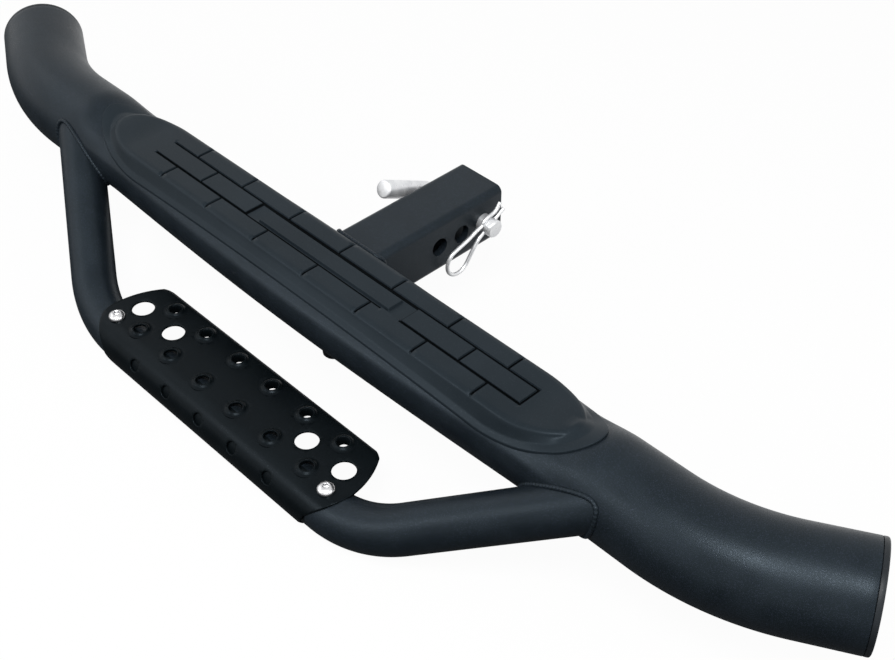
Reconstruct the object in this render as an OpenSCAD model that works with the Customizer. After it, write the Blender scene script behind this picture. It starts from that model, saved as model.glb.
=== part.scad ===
// Hitch receiver step: a wide round step bar with a moulded pad on its pressed
// middle, carried by a 2 inch square shank, and a lower hoop with a tread plate.
// Millimetres, Z up. X runs along the bar, +Y towards the vehicle.
// The origin is the centre of the shank's first pin hole.

/* [Main tube] */
// Outside diameter of the main tube
tube_d = 76.2; // [74:0.1:80]
// Wall of the main tube
tube_wall = 3; // [2:0.1:4]
// Half the straight length of the main tube
straight_half = 345; // [335:1:420]
// Centreline radius of the two end bends
end_bend_r = 200; // [160:1:260]
// Angle of the two end bends
end_bend_angle = 28.5; // [15:0.5:35]
// Straight length past each end bend
end_len = 44.5; // [30:0.5:80]
// Upward tilt of the plane that each end bends in
end_lift = 4; // [0:0.5:8]

/* [Pressed middle] */
// Round length between the pressed middle and each end bend
press_end = 40; // [27:1:47]
// Length over which the pressing runs out to round
press_runout = 60; // [50:1:70]
// Height of the pressed flat above the tube's axis
press_flat_z = 21; // [19:0.5:23]
// Angle of the crease along each flank, above the horizontal
press_crease = 18; // [14:1:22]
// Extra half width at the middle of the pressing
press_swell = 7.5; // [5:0.5:8.5]
// Length of the pressing past the end of the extra width
swell_inset = 61; // [57:1:69]

/* [End caps] */
// Thickness of the end cap's flange
cap_t = 4.5; // [3:0.5:7]
// Depth of the end cap's plug
cap_plug = 14; // [8:1:20]
// Wall of the end cap's plug
cap_wall = 2.5; // [1.5:0.5:4]
// Chamfer round the end cap
cap_chamfer = 1.2; // [0.4:0.2:2]

/* [Step pad] */
// Length of the pressing that shows past each end of the pad
pad_inset = 16; // [13:1:25]
// Half width of the pad's rim
pad_rim_y = 37.5; // [36:0.5:38.5]
// Length of each rounded end of the rim
pad_rim_run = 89; // [70:1:110]
// Thickness of the rim
pad_rim_t = 1.5; // [1:0.1:2]
// Length of the rim past each end of the raised top
rim_end = 19; // [15:1:29]
// Half width of the raised top
top_y = 29; // [27:0.5:30.5]
// Length of each rounded end of the raised top
top_run = 55; // [40:1:80]
// Height of the raised top above the tube's axis
pad_top_z = 30; // [28.5:0.5:33]
// Extra height of the top at its two ends
pad_end_rise = 3; // [1:0.5:5]
// Length over which the top rises at each end
pad_rise_run = 42; // [30:1:60]
// Shift of the pad along the bar
pad_x = 4; // [-4:0.5:4]

/* [Pad pattern] */
// Width of the grooves
groove_w = 2.4; // [1.5:0.1:3.5]
// Depth of the grooves
groove_depth = 2; // [1:0.1:3]
// Distance of the two long grooves from the middle
groove_y = 10; // [8:0.5:13]
// Pitch of the cross grooves
brick_pitch = 61.2; // [52:0.1:62]
// Shift of the pattern along the pad
brick_x = 8.5; // [0:0.5:9]
// Least plain length of the top past the grooves
plain_end = 55; // [40:1:55]
// Half length of the plain island in the middle
island_half = 77; // [60:1:85]
// Half width of that island
island_y = 7.2; // [5:0.1:8]

/* [Pad clips] */
// Diameter of the clip's stem
clip_d = 9.6; // [8:0.1:11]
// Distances of the inner clips from the pad's middle
clip_inner = [60, 150];
// Distance of the outer clips from the rim's ends
clip_inset = 64; // [56:1:80]
// Length of the clip's barb below the tube's wall
clip_barb = 7; // [5:0.5:10]

/* [Shank] */
// Outside width of the square shank
shank_w = 50.8; // [50:0.1:51]
// Wall of the shank
shank_wall = 6.35; // [4:0.05:7]
// Outside corner radius of the shank
shank_corner = 6; // [3:0.5:8]
// Drop of the shank's centre below the tube's axis
shank_drop = 9.8; // [7:0.1:12]
// Distance from the tube's axis to the shank's open end
shank_end = 180.4; // [172:0.1:260]
// Distance from the tube's axis to the first pin hole
hole_1_y = 107.6; // [100:0.1:112]
// Pitch of the three pin holes
hole_pitch = 25.4; // [24:0.1:27]
// Diameter of the pin holes
hole_d = 16.5; // [16.3:0.1:17.5]
// Leg of the weld round the shank's root
weld_leg = 3.5; // [2:0.5:4]

/* [Lower hoop] */
// Outside diameter of the hoop's tube
hoop_d = 38.1; // [35:0.1:40]
// Wall of the hoop's tube
hoop_wall = 2.5; // [2:0.1:3.5]
// Distance of the hoop's front bar in front of the tube's axis
hoop_y = 111.5; // [106:0.5:118]
// Depth of the hoop's front bar below the tube's axis
hoop_z = 75; // [70:0.5:82]
// Distance from the hoop's bends in to the bends of the main tube
hoop_inset = 215; // [205:1:217]
// Centreline radius of the hoop's bends
hoop_bend_r = 106; // [90:1:120]
// Angle of the hoop's bends
hoop_bend = 40; // [38:0.5:44]
// Slope of the hoop's plane
hoop_tilt = 41; // [38:0.5:44]
// Leg of the welds at the hoop's ends
hoop_weld = 4; // [2:0.5:5]

/* [Tread plate] */
// Thickness of the tread plate
tread_t = 2; // [1.5:0.1:3]
// Distance of the plate's rear face in front of the tube's axis
tread_rear = 57; // [54:0.5:60]
// Reach of the plate at its widest past the hoop's front bar
tread_over = 20.5; // [18:0.5:26]
// Radius of the plate's long side curves
side_r = 69.5; // [60:0.5:80]
// Radius of the plate's front corners
corner_r = 30; // [24:0.5:34]
// Outside radius of the rear bend
rear_bend_r = 5; // [3.5:0.5:7]
// Depth of the rear lip below its bend
lip_h = 6; // [3:0.5:10]
// How far the plate wraps round the hoop, from the top
wrap_angle = 155; // [140:1:170]
// Pitch of the holes along the plate
tread_pitch = 42.7; // [40:0.1:44]
// Diameter of the raised holes
grip_d = 11; // [8:0.5:13]
// Diameter of the collar round each raised hole
collar_d = 21; // [18:0.5:24]
// Height of the collars
collar_h = 1.8; // [1:0.1:3]
// Distances of the two rows of raised holes behind the hoop's axis
grip_rows = [4.4, 40];
// Diameter of the plain drain holes
drain_d = 19; // [14:0.5:22]
// Distance of the drain holes behind the hoop's axis
drain_y = 22.2; // [20:0.1:24]
// Angle above the horizontal of the row round the front
front_row = 27.5; // [22:0.5:34]

/* [Tread screws] */
// Diameter of the screw thread
screw_d = 8; // [6:0.5:8]
// Diameter of the screw head
head_d = 14; // [12:0.5:16]
// Height of the screw head
head_h = 4.4; // [3:0.1:5]
// Length of the screw below its head
screw_len = 16; // [12:0.5:20]
// Distance of the screws past the end of the hoop's front bar
screw_over = 3.8; // [1:0.1:5]

/* [Hitch pin] */
// Diameter of the hitch pin
pin_d = 15.9; // [15.5:0.1:16]
// Length of the pin past the shank's side on the clip's side
pin_out = 15.6; // [13:0.1:20]
// Distance from the shank's side to the handle's axis
pin_elbow = 13.6; // [13:0.1:20]
// Bend radius of the pin's elbow
elbow_r = 12; // [10:0.5:12.5]
// Length of the handle from the pin's axis
handle_len = 62; // [50:1:80]
// Rise of the handle above the horizontal
handle_rise = 27; // [15:1:40]
// Diameter of the clip's wire
wire_d = 3.4; // [3:0.1:3.6]
// Diameter of the cross hole for the wire
cross_d = 4; // [3.8:0.1:4.4]

/* [Hand knob] */
// Radius of the knob
knob_r = 33; // [28:0.5:36]
// Thickness of the knob
knob_h = 14; // [12:0.5:18]
// Depth of the knob's underside below the tube's axis
knob_z = 84.5; // [80:0.5:90]
// Distance of the knob's axis behind the tube's axis
knob_y = 32; // [31:0.5:36]
// Number of hollows round the knob
knob_lobes = 10; // [6:1:14]
// Diameter of the knob's stud
stud_d = 10; // [8:0.5:10]
// Height of the welded nut
nut_h = 12; // [8:0.5:14]
// Width across flats of the welded nut
nut_af = 19; // [17:0.5:20]

/* [Hidden] */
$fn = 64;

tube_r = tube_d/2;
tube_in_r = tube_r - tube_wall;
hoop_r = hoop_d/2;
press_half = straight_half - press_end;
swell_half = press_half - swell_inset;
pad_half = press_half - pad_inset;
top_half = pad_half - rim_end;
clip_x = concat(clip_inner, [pad_half - clip_inset]);
// Cross grooves on each side of the middle one
bricks = floor((top_half - plain_end)/brick_pitch - 0.5);
hoop_half = straight_half - hoop_inset;
tread_half = hoop_half + tread_over;
screw_x = hoop_half + screw_over;
// Pairs of raised holes along the plate
grip_pairs = floor((tread_half - drain_d - 3)/tread_pitch);
pin_r = pin_d/2;
shank_side = shank_w/2;
shank_under = -shank_drop - shank_side;
// Clearances: laid face to face, laid on a curved wall, welded seats
seat_gap = 0.05;
pad_gap = 0.35;
weld_gap = 0.2;
// Points round each ring of the pressed middle, and its steps
ring_n = 60;
run_steps = 10;
flat_steps = 10;
// Step in radius from a bend to its straight end
bend_step = 0.3;
// Step in radius and overlap from the pressed middle to the round arms
lap = 0.1;
lap_len = 4;
lead_len = 3;
// Share of the flank's width and height from its crease to the middle
press_y = [[0, 1], [1/6, 0.84], [1/3, 0.7], [1, 0]];
press_z = [[0, 0], [1/6, 0.61], [1/3, 1], [1, 1]];
// Steps from the pad's middle to each tip, closer together near the tip
pad_steps = 16;
// Rows across the pad's underside: share of the width, extra clearance
under_rows = [[0, 0], [0.35, 0], [0.7, 0.6], [0.85, 0.5]];

function smooth(t) = let (u = min(1, max(0, t))) u*u*(3 - 2*u);
function pressed(x) = 1 - smooth((abs(x) - press_half + press_runout)/press_runout);
function swell(x) = abs(x) < swell_half ? press_swell*cos(90*x/swell_half) : 0;

// A point of the pressed section at x: angle a, radius r, flat at height top
function press_pt(x, a, r, top) =
    let (s = 1 + swell(x)/r, w = pressed(x), z0 = r*sin(press_crease),
         k = (a - press_crease)/(90 - press_crease))
    a <= press_crease ? [s*r*cos(a), r*sin(a)]
    : [s*((1 - w)*r*cos(a) + w*r*cos(press_crease)*lookup(k, press_y)),
       (1 - w)*r*sin(a) + w*(z0 + (top - z0)*lookup(k, press_z))];
function half_angle(a) = a <= 90 ? a : 180 - a;
function press_ring(x, r, top) =
    [for (i = [0 : ring_n - 1])
        let (a = -90 + i*360/ring_n, p = press_pt(x, half_angle(a), r, top))
        [x, a <= 90 ? p[0] : -p[0], p[1]]];
// Height of the tube's upper surface at x and y
function surf_z(x, y) =
    lookup(abs(y), [for (a = [90 : -6 : -18]) press_pt(x, a, tube_r, press_flat_z)]);

function press_steps(n_run, n_flat) =
    let (flat = press_half - press_runout)
    concat([-press_half - lap_len],
           [for (i = [0 : n_run]) -press_half + i*press_runout/n_run],
           [for (i = [1 : n_flat - 1]) -flat + i*2*flat/n_flat],
           [for (i = [0 : n_run]) flat + i*press_runout/n_run],
           [press_half + lap_len]);
// Two triangles for each four-cornered face
function split(q) = [[q[0], q[1], q[2]], [q[0], q[2], q[3]]];
function skin(n_rings, n, first, flip) =
    [for (i = [0 : n_rings - 2], j = [0 : n - 1])
        let (a = first + i*n + j, b = first + i*n + (j + 1)%n)
        for (t = split([a, a + n, b + n, b])) flip ? [t[2], t[1], t[0]] : t];

module at_bar() {
    translate([0, -hole_1_y, shank_drop]) children();
}

// Hollow pressed middle as one closed skin
module pressed_middle() {
    outer_x = press_steps(run_steps, flat_steps);
    inner_x = press_steps(3, 3);
    no = len(outer_x);
    ni = len(inner_x);
    in_r = (tube_in_r + lap)/cos(180/ring_n);
    outer = [for (x = outer_x) each press_ring(x, tube_r - lap, press_flat_z)];
    inner = [for (x = inner_x) each press_ring(x, in_r, press_flat_z - tube_wall)];
    in0 = no*ring_n;
    end_o = (no - 1)*ring_n;
    end_i = in0 + (ni - 1)*ring_n;
    ends = [for (j = [0 : ring_n - 1])
        let (k = (j + 1)%ring_n)
        each concat(split([end_o + k, end_o + j, end_i + j, end_i + k]),
                    split([j, k, in0 + k, in0 + j]))];
    polyhedron(points = concat(outer, inner),
               faces = concat(skin(no, ring_n, 0, false),
                              skin(ni, ring_n, in0, true), ends));
}

// Places its children at the start of the right end's last straight
module at_end() {
    rotate([end_lift, 0, 0])
        translate([straight_half, end_bend_r, 0])
            rotate([0, 0, end_bend_angle])
                translate([0, -end_bend_r, 0]) children();
}

// Round bar along the right arm, from x = start, and past its end by extra
module arm_bar(r, start, extra) {
    rotate([end_lift, 0, 0]) {
        translate([start, 0, 0]) rotate([0, 90, 0])
            cylinder(r = r, h = straight_half - start);
        translate([straight_half, end_bend_r, 0]) rotate([0, 0, -90])
            rotate_extrude(angle = end_bend_angle)
                translate([end_bend_r, 0]) circle(r = r);
    }
    at_end() translate([-1, 0, 0]) rotate([0, 90, 0]) rotate([0, 0, -90])
        cylinder(r = r - bend_step, h = end_len + extra + 1);
}
// Short cone that meets the pressed middle's many sides at the arm's start
module arm_lead(r, step) {
    rotate([end_lift, 0, 0]) translate([press_half, 0, 0]) rotate([0, 90, 0])
        cylinder(r1 = r - step, r2 = r, h = lead_len);
}

module main_tube() {
    color([0.13, 0.13, 0.14]) at_bar() difference() {
        union() {
            pressed_middle();
            for (m = [0, 1]) mirror([m, 0, 0]) difference() {
                union() {
                    arm_lead(tube_r, 4*lap);
                    arm_bar(tube_r, press_half + lead_len, 0);
                }
                arm_lead(tube_in_r, -4*lap);
                arm_bar(tube_in_r, press_half - 1, 1);
            }
        }
        for (x = clip_x, m = [-1, 1])
            translate([pad_x + m*x, 0, press_flat_z - tube_wall - 2])
                cylinder(d = clip_d + 0.4, h = tube_wall + 4);
    }
}

// Flange on the tube's end with a hollow plug inside it
module end_cap() {
    plug_r = tube_in_r - bend_step - 0.2;
    color([0.09, 0.09, 0.1]) at_bar() at_end()
        translate([end_len, 0, 0]) rotate([0, 90, 0]) rotate_extrude() polygon([
            [0, 0], [plug_r - cap_wall, 0], [plug_r - cap_wall, -cap_plug],
            [plug_r, -cap_plug], [plug_r, seat_gap], [tube_r, seat_gap],
            [tube_r, cap_t - cap_chamfer], [tube_r - cap_chamfer, cap_t], [0, cap_t]]);
}
module end_cap_right() { end_cap(); }
module end_cap_left() { mirror([1, 0, 0]) end_cap(); }

// Half width of an outline with elliptic ends, of half length l, at x
function oval_y(x, l, y, run) =
    let (d = max(0, (abs(x) - l + run)/run)) max(0.2, y*sqrt(max(0, 1 - d*d)));
function top_z(x) =
    pad_top_z + pad_end_rise*smooth((abs(x) - top_half + pad_rise_run)/pad_rise_run);

// The pad's section at share c of its half length, up one side, as x, y, z
function pad_side(c) =
    let (xa = pad_half*c, ya = oval_y(xa, pad_half, pad_rim_y, pad_rim_run),
         xb = (pad_half - 0.3)*c,
         yb = oval_y(xb, pad_half - 0.3, pad_rim_y - 0.3, pad_rim_run),
         xc = (top_half + 7)*c, yc = oval_y(xc, top_half + 7, top_y + 4.5, top_run + 18),
         xd = top_half*c, yd = oval_y(xd, top_half, top_y + 0.5, top_run),
         xe = (top_half - 1.2)*c, ye = oval_y(xe, top_half - 1.2, top_y - 0.8, top_run - 1),
         xf = (top_half - 4)*c, yf = oval_y(xf, top_half - 4, top_y - 4, top_run - 3),
         za = surf_z(xa + pad_x, ya) + pad_gap,
         zb = surf_z(xb + pad_x, yb) + pad_gap + pad_rim_t,
         zc = surf_z(xc + pad_x, yc) + pad_gap + pad_rim_t + 0.2,
         zd = max(top_z(xd) - 3.5, zc + 0.4),
         ze = max(top_z(xe) - 1.1, zd + 0.3),
         zf = max(top_z(xf), ze + 0.2))
    concat([for (u = under_rows)
                [xa, u[0]*ya, surf_z(xa + pad_x, u[0]*ya) + pad_gap + u[1]]],
           [[xa, ya, za], [xb, yb, zb], [xc, yc, zc], [xd, yd, zd], [xe, ye, ze],
            [xf, yf, zf]]);
function pad_ring(c) =
    let (s = pad_side(c), n = len(s))
    concat(s, [for (i = [n - 1 : -1 : 1]) [s[i][0], -s[i][1], s[i][2]]]);

// Moulded body of the pad, lying on the pressed middle
module pad_body() {
    steps = [for (i = [-pad_steps : pad_steps])
                let (t = abs(i)/pad_steps) sign(i)*(1 - (1 - t)*(1 - t))];
    rings = [for (c = steps) pad_ring(c)];
    n = len(rings[0]);
    last = (len(steps) - 1)*n;
    tip = concat([[0, n - 1, 1]],
                 [for (k = [1 : (n - 1)/2 - 1])
                     each split([n - k, n - k - 1, k + 1, k])]);
    polyhedron(points = [for (r = rings) each r],
               faces = concat(skin(len(steps), n, 0, false),
                              [for (f = tip) [last + f[0], last + f[1], last + f[2]]],
                              [for (f = tip) [f[2], f[1], f[0]]]));
}

// A groove cut down from the pad's top, from x0, y0 to x1, y1
module groove(x0, x1, y0, y1) {
    translate([x0, y0, pad_top_z - groove_depth])
        cube([x1 - x0, y1 - y0, groove_depth + 10]);
}
module cross_groove(x, y0, y1) {
    groove(x - groove_w/2, x + groove_w/2, y0, y1);
}

module pad_pattern() {
    hw = groove_w/2;
    end = (bricks + 0.5)*brick_pitch;
    recess = 1.5*brick_pitch;
    groove(-end - hw, end + hw, groove_y - hw, groove_y + hw);
    groove(-end - hw, island_half - 5, -groove_y - hw, -groove_y + hw);
    groove(recess, end + hw, -groove_y - hw, -groove_y + hw);
    for (k = [-bricks : bricks]) {
        cross_groove(k*brick_pitch, groove_y, top_y + 4);
        cross_groove(k*brick_pitch, -top_y - 4, -groove_y);
    }
    for (k = [2.5 : bricks + 0.5], m = [-1, 1])
        cross_groove(m*k*brick_pitch, -groove_y, groove_y);
    difference() {
        groove(-recess - hw, recess + hw, -groove_y + hw - 0.5, groove_y - hw + 0.5);
        translate([-island_half, -island_y, 0])
            cube([2*island_half, 2*island_y, pad_top_z + 20]);
    }
}

module step_pad() {
    color([0.06, 0.06, 0.065]) at_bar() translate([pad_x, 0, 0]) difference() {
        pad_body();
        translate([brick_x, 0, 0]) pad_pattern();
    }
}

// Push-in studs under the pad, with a barb below the tube's wall
module pad_clips() {
    r = clip_d/2;
    inner = press_flat_z - tube_wall;
    color([0.75, 0.75, 0.72]) at_bar()
        for (x = clip_x, m = [-1, 1]) translate([pad_x + m*x, 0, 0]) {
            translate([0, 0, inner - clip_barb/2])
                cylinder(r = r, h = tube_wall + clip_barb/2 + pad_gap - seat_gap);
            translate([0, 0, inner - clip_barb])
                cylinder(r1 = r - 1.5, r2 = r + 1.2, h = clip_barb - 0.4);
        }
}

// Rounded square along Y, from y0 to y1, of side w and corner radius c
module square_bar(w, c, y0, y1) {
    h = y1 - y0;
    translate([0, y0, -shank_drop]) rotate([-90, 0, 0]) {
        linear_extrude(h) square([w, w - 2*c], center = true);
        linear_extrude(h) square([w - 2*c, w], center = true);
        for (a = [-1, 1], b = [-1, 1])
            translate([a*(w/2 - c), b*(w/2 - c), 0]) cylinder(r = c, h = h);
    }
}
// Straight bar with the tube's section at its middle, grown by g
module tube_prism(g, half) {
    rotate([90, 0, 90]) linear_extrude(2*half, center = true)
        polygon([for (p = press_ring(0, tube_r + g, press_flat_z + g)) [p[1], p[2]]]);
}

module shank() {
    inner_c = max(1, shank_corner - shank_wall);
    color([0.12, 0.12, 0.13]) at_bar() difference() {
        square_bar(shank_w, shank_corner, 8, shank_end);
        square_bar(shank_w - 2*shank_wall, inner_c, 0, shank_end + 1);
        tube_prism(weld_gap, shank_w);
        for (i = [0 : 2])
            translate([0, hole_1_y + i*hole_pitch, -shank_drop]) rotate([0, 90, 0])
                cylinder(d = hole_d, h = shank_w + 10, center = true);
        translate([0, knob_y, shank_under - 1])
            cylinder(d = stud_d + 0.6, h = shank_wall + 2);
    }
}

// Bead round the shank's root, kept clear of the pad's rim
module shank_weld() {
    g = weld_leg;
    color([0.14, 0.14, 0.15]) at_bar() difference() {
        intersection() {
            tube_prism(g, shank_w);
            square_bar(shank_w + 2*g, shank_corner + g, 8, 60);
        }
        tube_prism(weld_gap, 2*shank_w);
        square_bar(shank_w + 2*seat_gap, shank_corner, 7, 61);
        translate([-shank_w, 0, press_flat_z - 9])
            cube([2*shank_w, pad_rim_y + 0.6, 20]);
        translate([0, knob_y, shank_under - nut_h - 1])
            cylinder(d = nut_af/cos(30) + 1, h = nut_h + 1);
    }
}

// The hoop's slope puts the tube's axis this far along its plane
hoop_reach = hoop_y*cos(hoop_tilt) + hoop_z*sin(hoop_tilt);
leg_len = (hoop_reach - hoop_bend_r*(1 - cos(hoop_bend)))/sin(hoop_bend) - 2;

module at_hoop() {
    translate([0, -hoop_y, -hoop_z]) rotate([hoop_tilt, 0, 0]) children();
}
module hoop_leg(r) {
    at_hoop() translate([hoop_half, hoop_bend_r, 0]) rotate([0, 0, hoop_bend])
        translate([-1, -hoop_bend_r, 0]) rotate([0, 90, 0]) rotate([0, 0, -90])
            cylinder(r = r - bend_step, h = leg_len + 1);
}
module hoop_bar(r) {
    at_hoop() rotate([0, 90, 0]) cylinder(r = r, h = 2*hoop_half, center = true);
    for (m = [0, 1]) mirror([m, 0, 0]) {
        at_hoop() translate([hoop_half, hoop_bend_r, 0]) rotate([0, 0, -90])
            rotate_extrude(angle = hoop_bend)
                translate([hoop_bend_r, 0]) circle(r = r);
        hoop_leg(r);
    }
}
module tube_core(g) {
    rotate([0, 90, 0]) cylinder(r = tube_r + g, h = 2*straight_half, center = true);
}

module hoop_tube() {
    color([0.12, 0.12, 0.13]) at_bar() difference() {
        hoop_bar(hoop_r);
        hoop_bar(hoop_r - hoop_wall);
        tube_core(weld_gap);
        for (m = [-1, 1]) translate([m*screw_x, -hoop_y, -hoop_z])
            cylinder(d = screw_d + 3.2, h = hoop_d);
    }
}

module hoop_weld() {
    color([0.14, 0.14, 0.15]) at_bar() difference() {
        intersection() {
            hoop_leg(hoop_r + hoop_weld);
            tube_core(hoop_weld);
        }
        tube_core(weld_gap);
        hoop_leg(hoop_r + seat_gap);
    }
}
module hoop_weld_right() { hoop_weld(); }
module hoop_weld_left() { mirror([1, 0, 0]) hoop_weld(); }

tread_in_r = hoop_r + seat_gap;
tread_out_r = tread_in_r + tread_t;
tread_z = -hoop_z + tread_out_r;

// Ring of inner radius a and outer radius b from angle p to angle q
module arc_band(a, b, p, q) {
    intersection() {
        difference() {
            circle(r = b);
            circle(r = a);
        }
        polygon(concat([[0, 0]], [for (i = [0 : 8])
            2*b*[cos(p + (q - p)*i/8), sin(p + (q - p)*i/8)]]));
    }
}
// The plate from the side: rear lip, bend, flat top and the wrap round the hoop
module tread_profile() {
    back = -tread_rear - rear_bend_r;
    translate([-hoop_y, -hoop_z])
        arc_band(tread_in_r, tread_out_r, 90, 90 + wrap_angle);
    translate([-hoop_y, tread_z - tread_t]) square([back + hoop_y, tread_t]);
    translate([back, tread_z - rear_bend_r])
        arc_band(rear_bend_r - tread_t, rear_bend_r, 0, 90);
    translate([-tread_rear - tread_t, tread_z - rear_bend_r - lip_h])
        square([tread_t, lip_h]);
}
// The plate from above: long side curves that run into the front corners
module tread_plan() {
    side_y = -hoop_y + 8;
    for (m = [0, 1]) mirror([m, 0]) {
        intersection() {
            translate([tread_half - side_r, side_y]) circle(r = side_r);
            translate([0, side_y]) square([tread_half + 1, side_r]);
        }
        translate([-1, side_y]) square([tread_half - side_r + 1, side_r]);
        intersection() {
            translate([tread_half - corner_r, side_y]) circle(r = corner_r);
            translate([0, side_y - corner_r]) square([tread_half + 1, corner_r]);
        }
        translate([-1, side_y - corner_r]) square([tread_half - corner_r + 1, corner_r]);
    }
}
// A raised hole's collar on the plane z = 0, or its bore
module collar(d, h) {
    translate([0, 0, -tread_t/2]) cylinder(d = d, h = tread_t/2);
    cylinder(d1 = d, d2 = (d + grip_d)/2 + 0.5, h = h);
}
// Places its children at each raised hole
module at_grips() {
    for (y = grip_rows, k = [0.5 - grip_pairs : grip_pairs - 0.5])
        translate([k*tread_pitch, -hoop_y + y, tread_z]) children();
}
module at_front_holes() {
    for (k = [1 - grip_pairs : grip_pairs - 1])
        translate([k*tread_pitch, -hoop_y, -hoop_z]) rotate([90 - front_row, 0, 0])
            translate([0, 0, tread_out_r]) children();
}

module tread_plate() {
    color([0.1, 0.1, 0.11]) at_bar() difference() {
        union() {
            intersection() {
                rotate([90, 0, 90])
                    linear_extrude(2*tread_half + 2, center = true) tread_profile();
                union() {
                    translate([0, 0, -hoop_z]) linear_extrude(hoop_d) tread_plan();
                    translate([-tread_half + corner_r, -hoop_y - hoop_d, -hoop_z - hoop_d])
                        cube([2*(tread_half - corner_r), 2*hoop_d, hoop_d]);
                }
            }
            at_grips() collar(collar_d, collar_h);
        }
        hoop_bar(hoop_r + seat_gap/2);
        at_grips() cylinder(d = grip_d, h = 20, center = true);
        at_front_holes() cylinder(d = grip_d, h = 12, center = true);
        for (m = [-1, 1]) {
            for (k = [grip_pairs - 1, grip_pairs])
                translate([m*k*tread_pitch, -hoop_y + drain_y, tread_z])
                    cylinder(d = drain_d, h = 10, center = true);
            translate([m*screw_x, -hoop_y, tread_z])
                cylinder(d = screw_d + 0.6, h = 10, center = true);
        }
    }
}

// Button-head screws with a hexagon socket
module tread_screws() {
    color([0.72, 0.72, 0.73]) at_bar()
        for (m = [-1, 1]) translate([m*screw_x, -hoop_y, tread_z + seat_gap])
            difference() {
                union() {
                    cylinder(d = head_d, h = head_h*0.35);
                    translate([0, 0, head_h*0.35])
                        cylinder(d1 = head_d, d2 = head_d*0.62, h = head_h*0.65);
                    translate([0, 0, -screw_len])
                        cylinder(d = screw_d - 0.1, h = screw_len + 1);
                }
                translate([0, 0, head_h - 2.6])
                    cylinder(d = screw_d*0.62/cos(30), h = 4, $fn = 6);
            }
}

// Threaded inserts in the hoop's upper wall, under the screws
module tread_inserts() {
    insert_r = screw_d/2 + 1.5;
    top = -hoop_z + sqrt(hoop_r*hoop_r - insert_r*insert_r) - seat_gap;
    under = -hoop_z + hoop_r - hoop_wall;
    color([0.62, 0.6, 0.5]) at_bar()
        for (m = [-1, 1]) translate([m*screw_x, -hoop_y, 0]) difference() {
            union() {
                translate([0, 0, under - 7]) cylinder(r = insert_r, h = top - under + 7);
                translate([0, 0, under - 6]) cylinder(d = screw_d + 6, h = 4);
            }
            translate([0, 0, under - 8]) cylinder(d = screw_d, h = 20);
        }
}

pin_y = hole_1_y + 2*hole_pitch;
cross_x = shank_side + pin_out - 8;
module at_pin() {
    translate([0, pin_y, -shank_drop]) children();
}

// Bent pin: shaft through the shank, elbow and handle, chamfered at both ends
module hitch_pin() {
    shaft_end = shank_side + pin_out;
    elbow_x = -shank_side - pin_elbow;
    ch = 2;
    color([0.78, 0.79, 0.8]) at_bar() at_pin() difference() {
        rotate([-handle_rise, 0, 0]) {
            translate([elbow_x + elbow_r, 0, 0]) rotate([0, 90, 0])
                cylinder(r = pin_r, h = shaft_end - ch - elbow_x - elbow_r);
            translate([shaft_end - ch, 0, 0]) rotate([0, 90, 0])
                cylinder(r1 = pin_r, r2 = pin_r - ch, h = ch);
            translate([elbow_x + elbow_r, -elbow_r, 0]) rotate([0, 0, 90])
                rotate_extrude(angle = 90) translate([elbow_r, 0]) circle(r = pin_r);
            translate([elbow_x, -elbow_r, 0]) rotate([90, 0, 0])
                cylinder(r = pin_r, h = handle_len - elbow_r - ch);
            translate([elbow_x, -handle_len + ch, 0]) rotate([90, 0, 0])
                cylinder(r1 = pin_r, r2 = pin_r - ch, h = ch);
        }
        translate([cross_x, 0, 0]) rotate([-60, 0, 0])
            cylinder(d = cross_d, h = 4*pin_r, center = true);
    }
}

// Route of the clip's wire in its own plane, from its straight leg's tip:
// through the pin, round the loop, back over the pin and out in a flare
loop_r = 12.5;
hug_r = pin_r + wire_d/2 + 0.25;
clip_route = concat(
    [[20, 0], [10, 0], [0, 0], [-10, 0], [-15, -0.4], [-20, -2], [-28, -5.4]],
    [for (a = [-70 : -20 : -290]) [-41 + loop_r*cos(a), 2.6 + loop_r*sin(a)]],
    [[-28, 12.2], [-20, 10.4], [-13, 9.8]],
    [for (a = [125 : -16 : 61]) hug_r*[cos(a), sin(a)]],
    [[9.5, 7], [14, 7], [20, 9.5]]);
wire_sides = 8;
wire_cuts = 2;

// Curve through p[1] and p[2], at share t of the way
function between(p, t) =
    0.5*(2*p[1] + (p[2] - p[0])*t + (2*p[0] - 5*p[1] + 4*p[2] - p[3])*t*t
         + (3*p[1] - p[0] - 3*p[2] + p[3])*t*t*t);
function curve(r) =
    let (n = len(r))
    concat([for (i = [0 : n - 2], j = [0 : wire_cuts - 1])
                between([r[max(0, i - 1)], r[i], r[i + 1], r[min(n - 1, i + 2)]],
                        j/wire_cuts)],
           [r[n - 1]]);

// Spring clip of round wire: one flat sweep
module pin_clip() {
    path = curve(clip_route)*pin_d/15.9;
    n = len(path);
    points = [for (i = [0 : n - 1])
        let (d = path[min(n - 1, i + 1)] - path[max(0, i - 1)], t = d/norm(d))
        for (j = [0 : wire_sides - 1])
            let (a = 360*j/wire_sides, r = wire_d/2)
            [r*sin(a), path[i][0] - t[1]*r*cos(a), path[i][1] + t[0]*r*cos(a)]];
    last = (n - 1)*wire_sides;
    color([0.8, 0.8, 0.81]) at_bar() at_pin() translate([cross_x, 0, 0])
        rotate([30, 0, 0]) polyhedron(points = points,
            faces = concat(skin(n, wire_sides, 0, true),
                           [[for (j = [0 : wire_sides - 1]) wire_sides - 1 - j]],
                           [[for (j = [0 : wire_sides - 1]) last + j]]));
}

// The knob's stack, from its underside up
grip_top = -knob_z + knob_h;
insert_af = stud_d + 6;
module at_knob(z) {
    translate([0, knob_y, z]) children();
}

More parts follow.
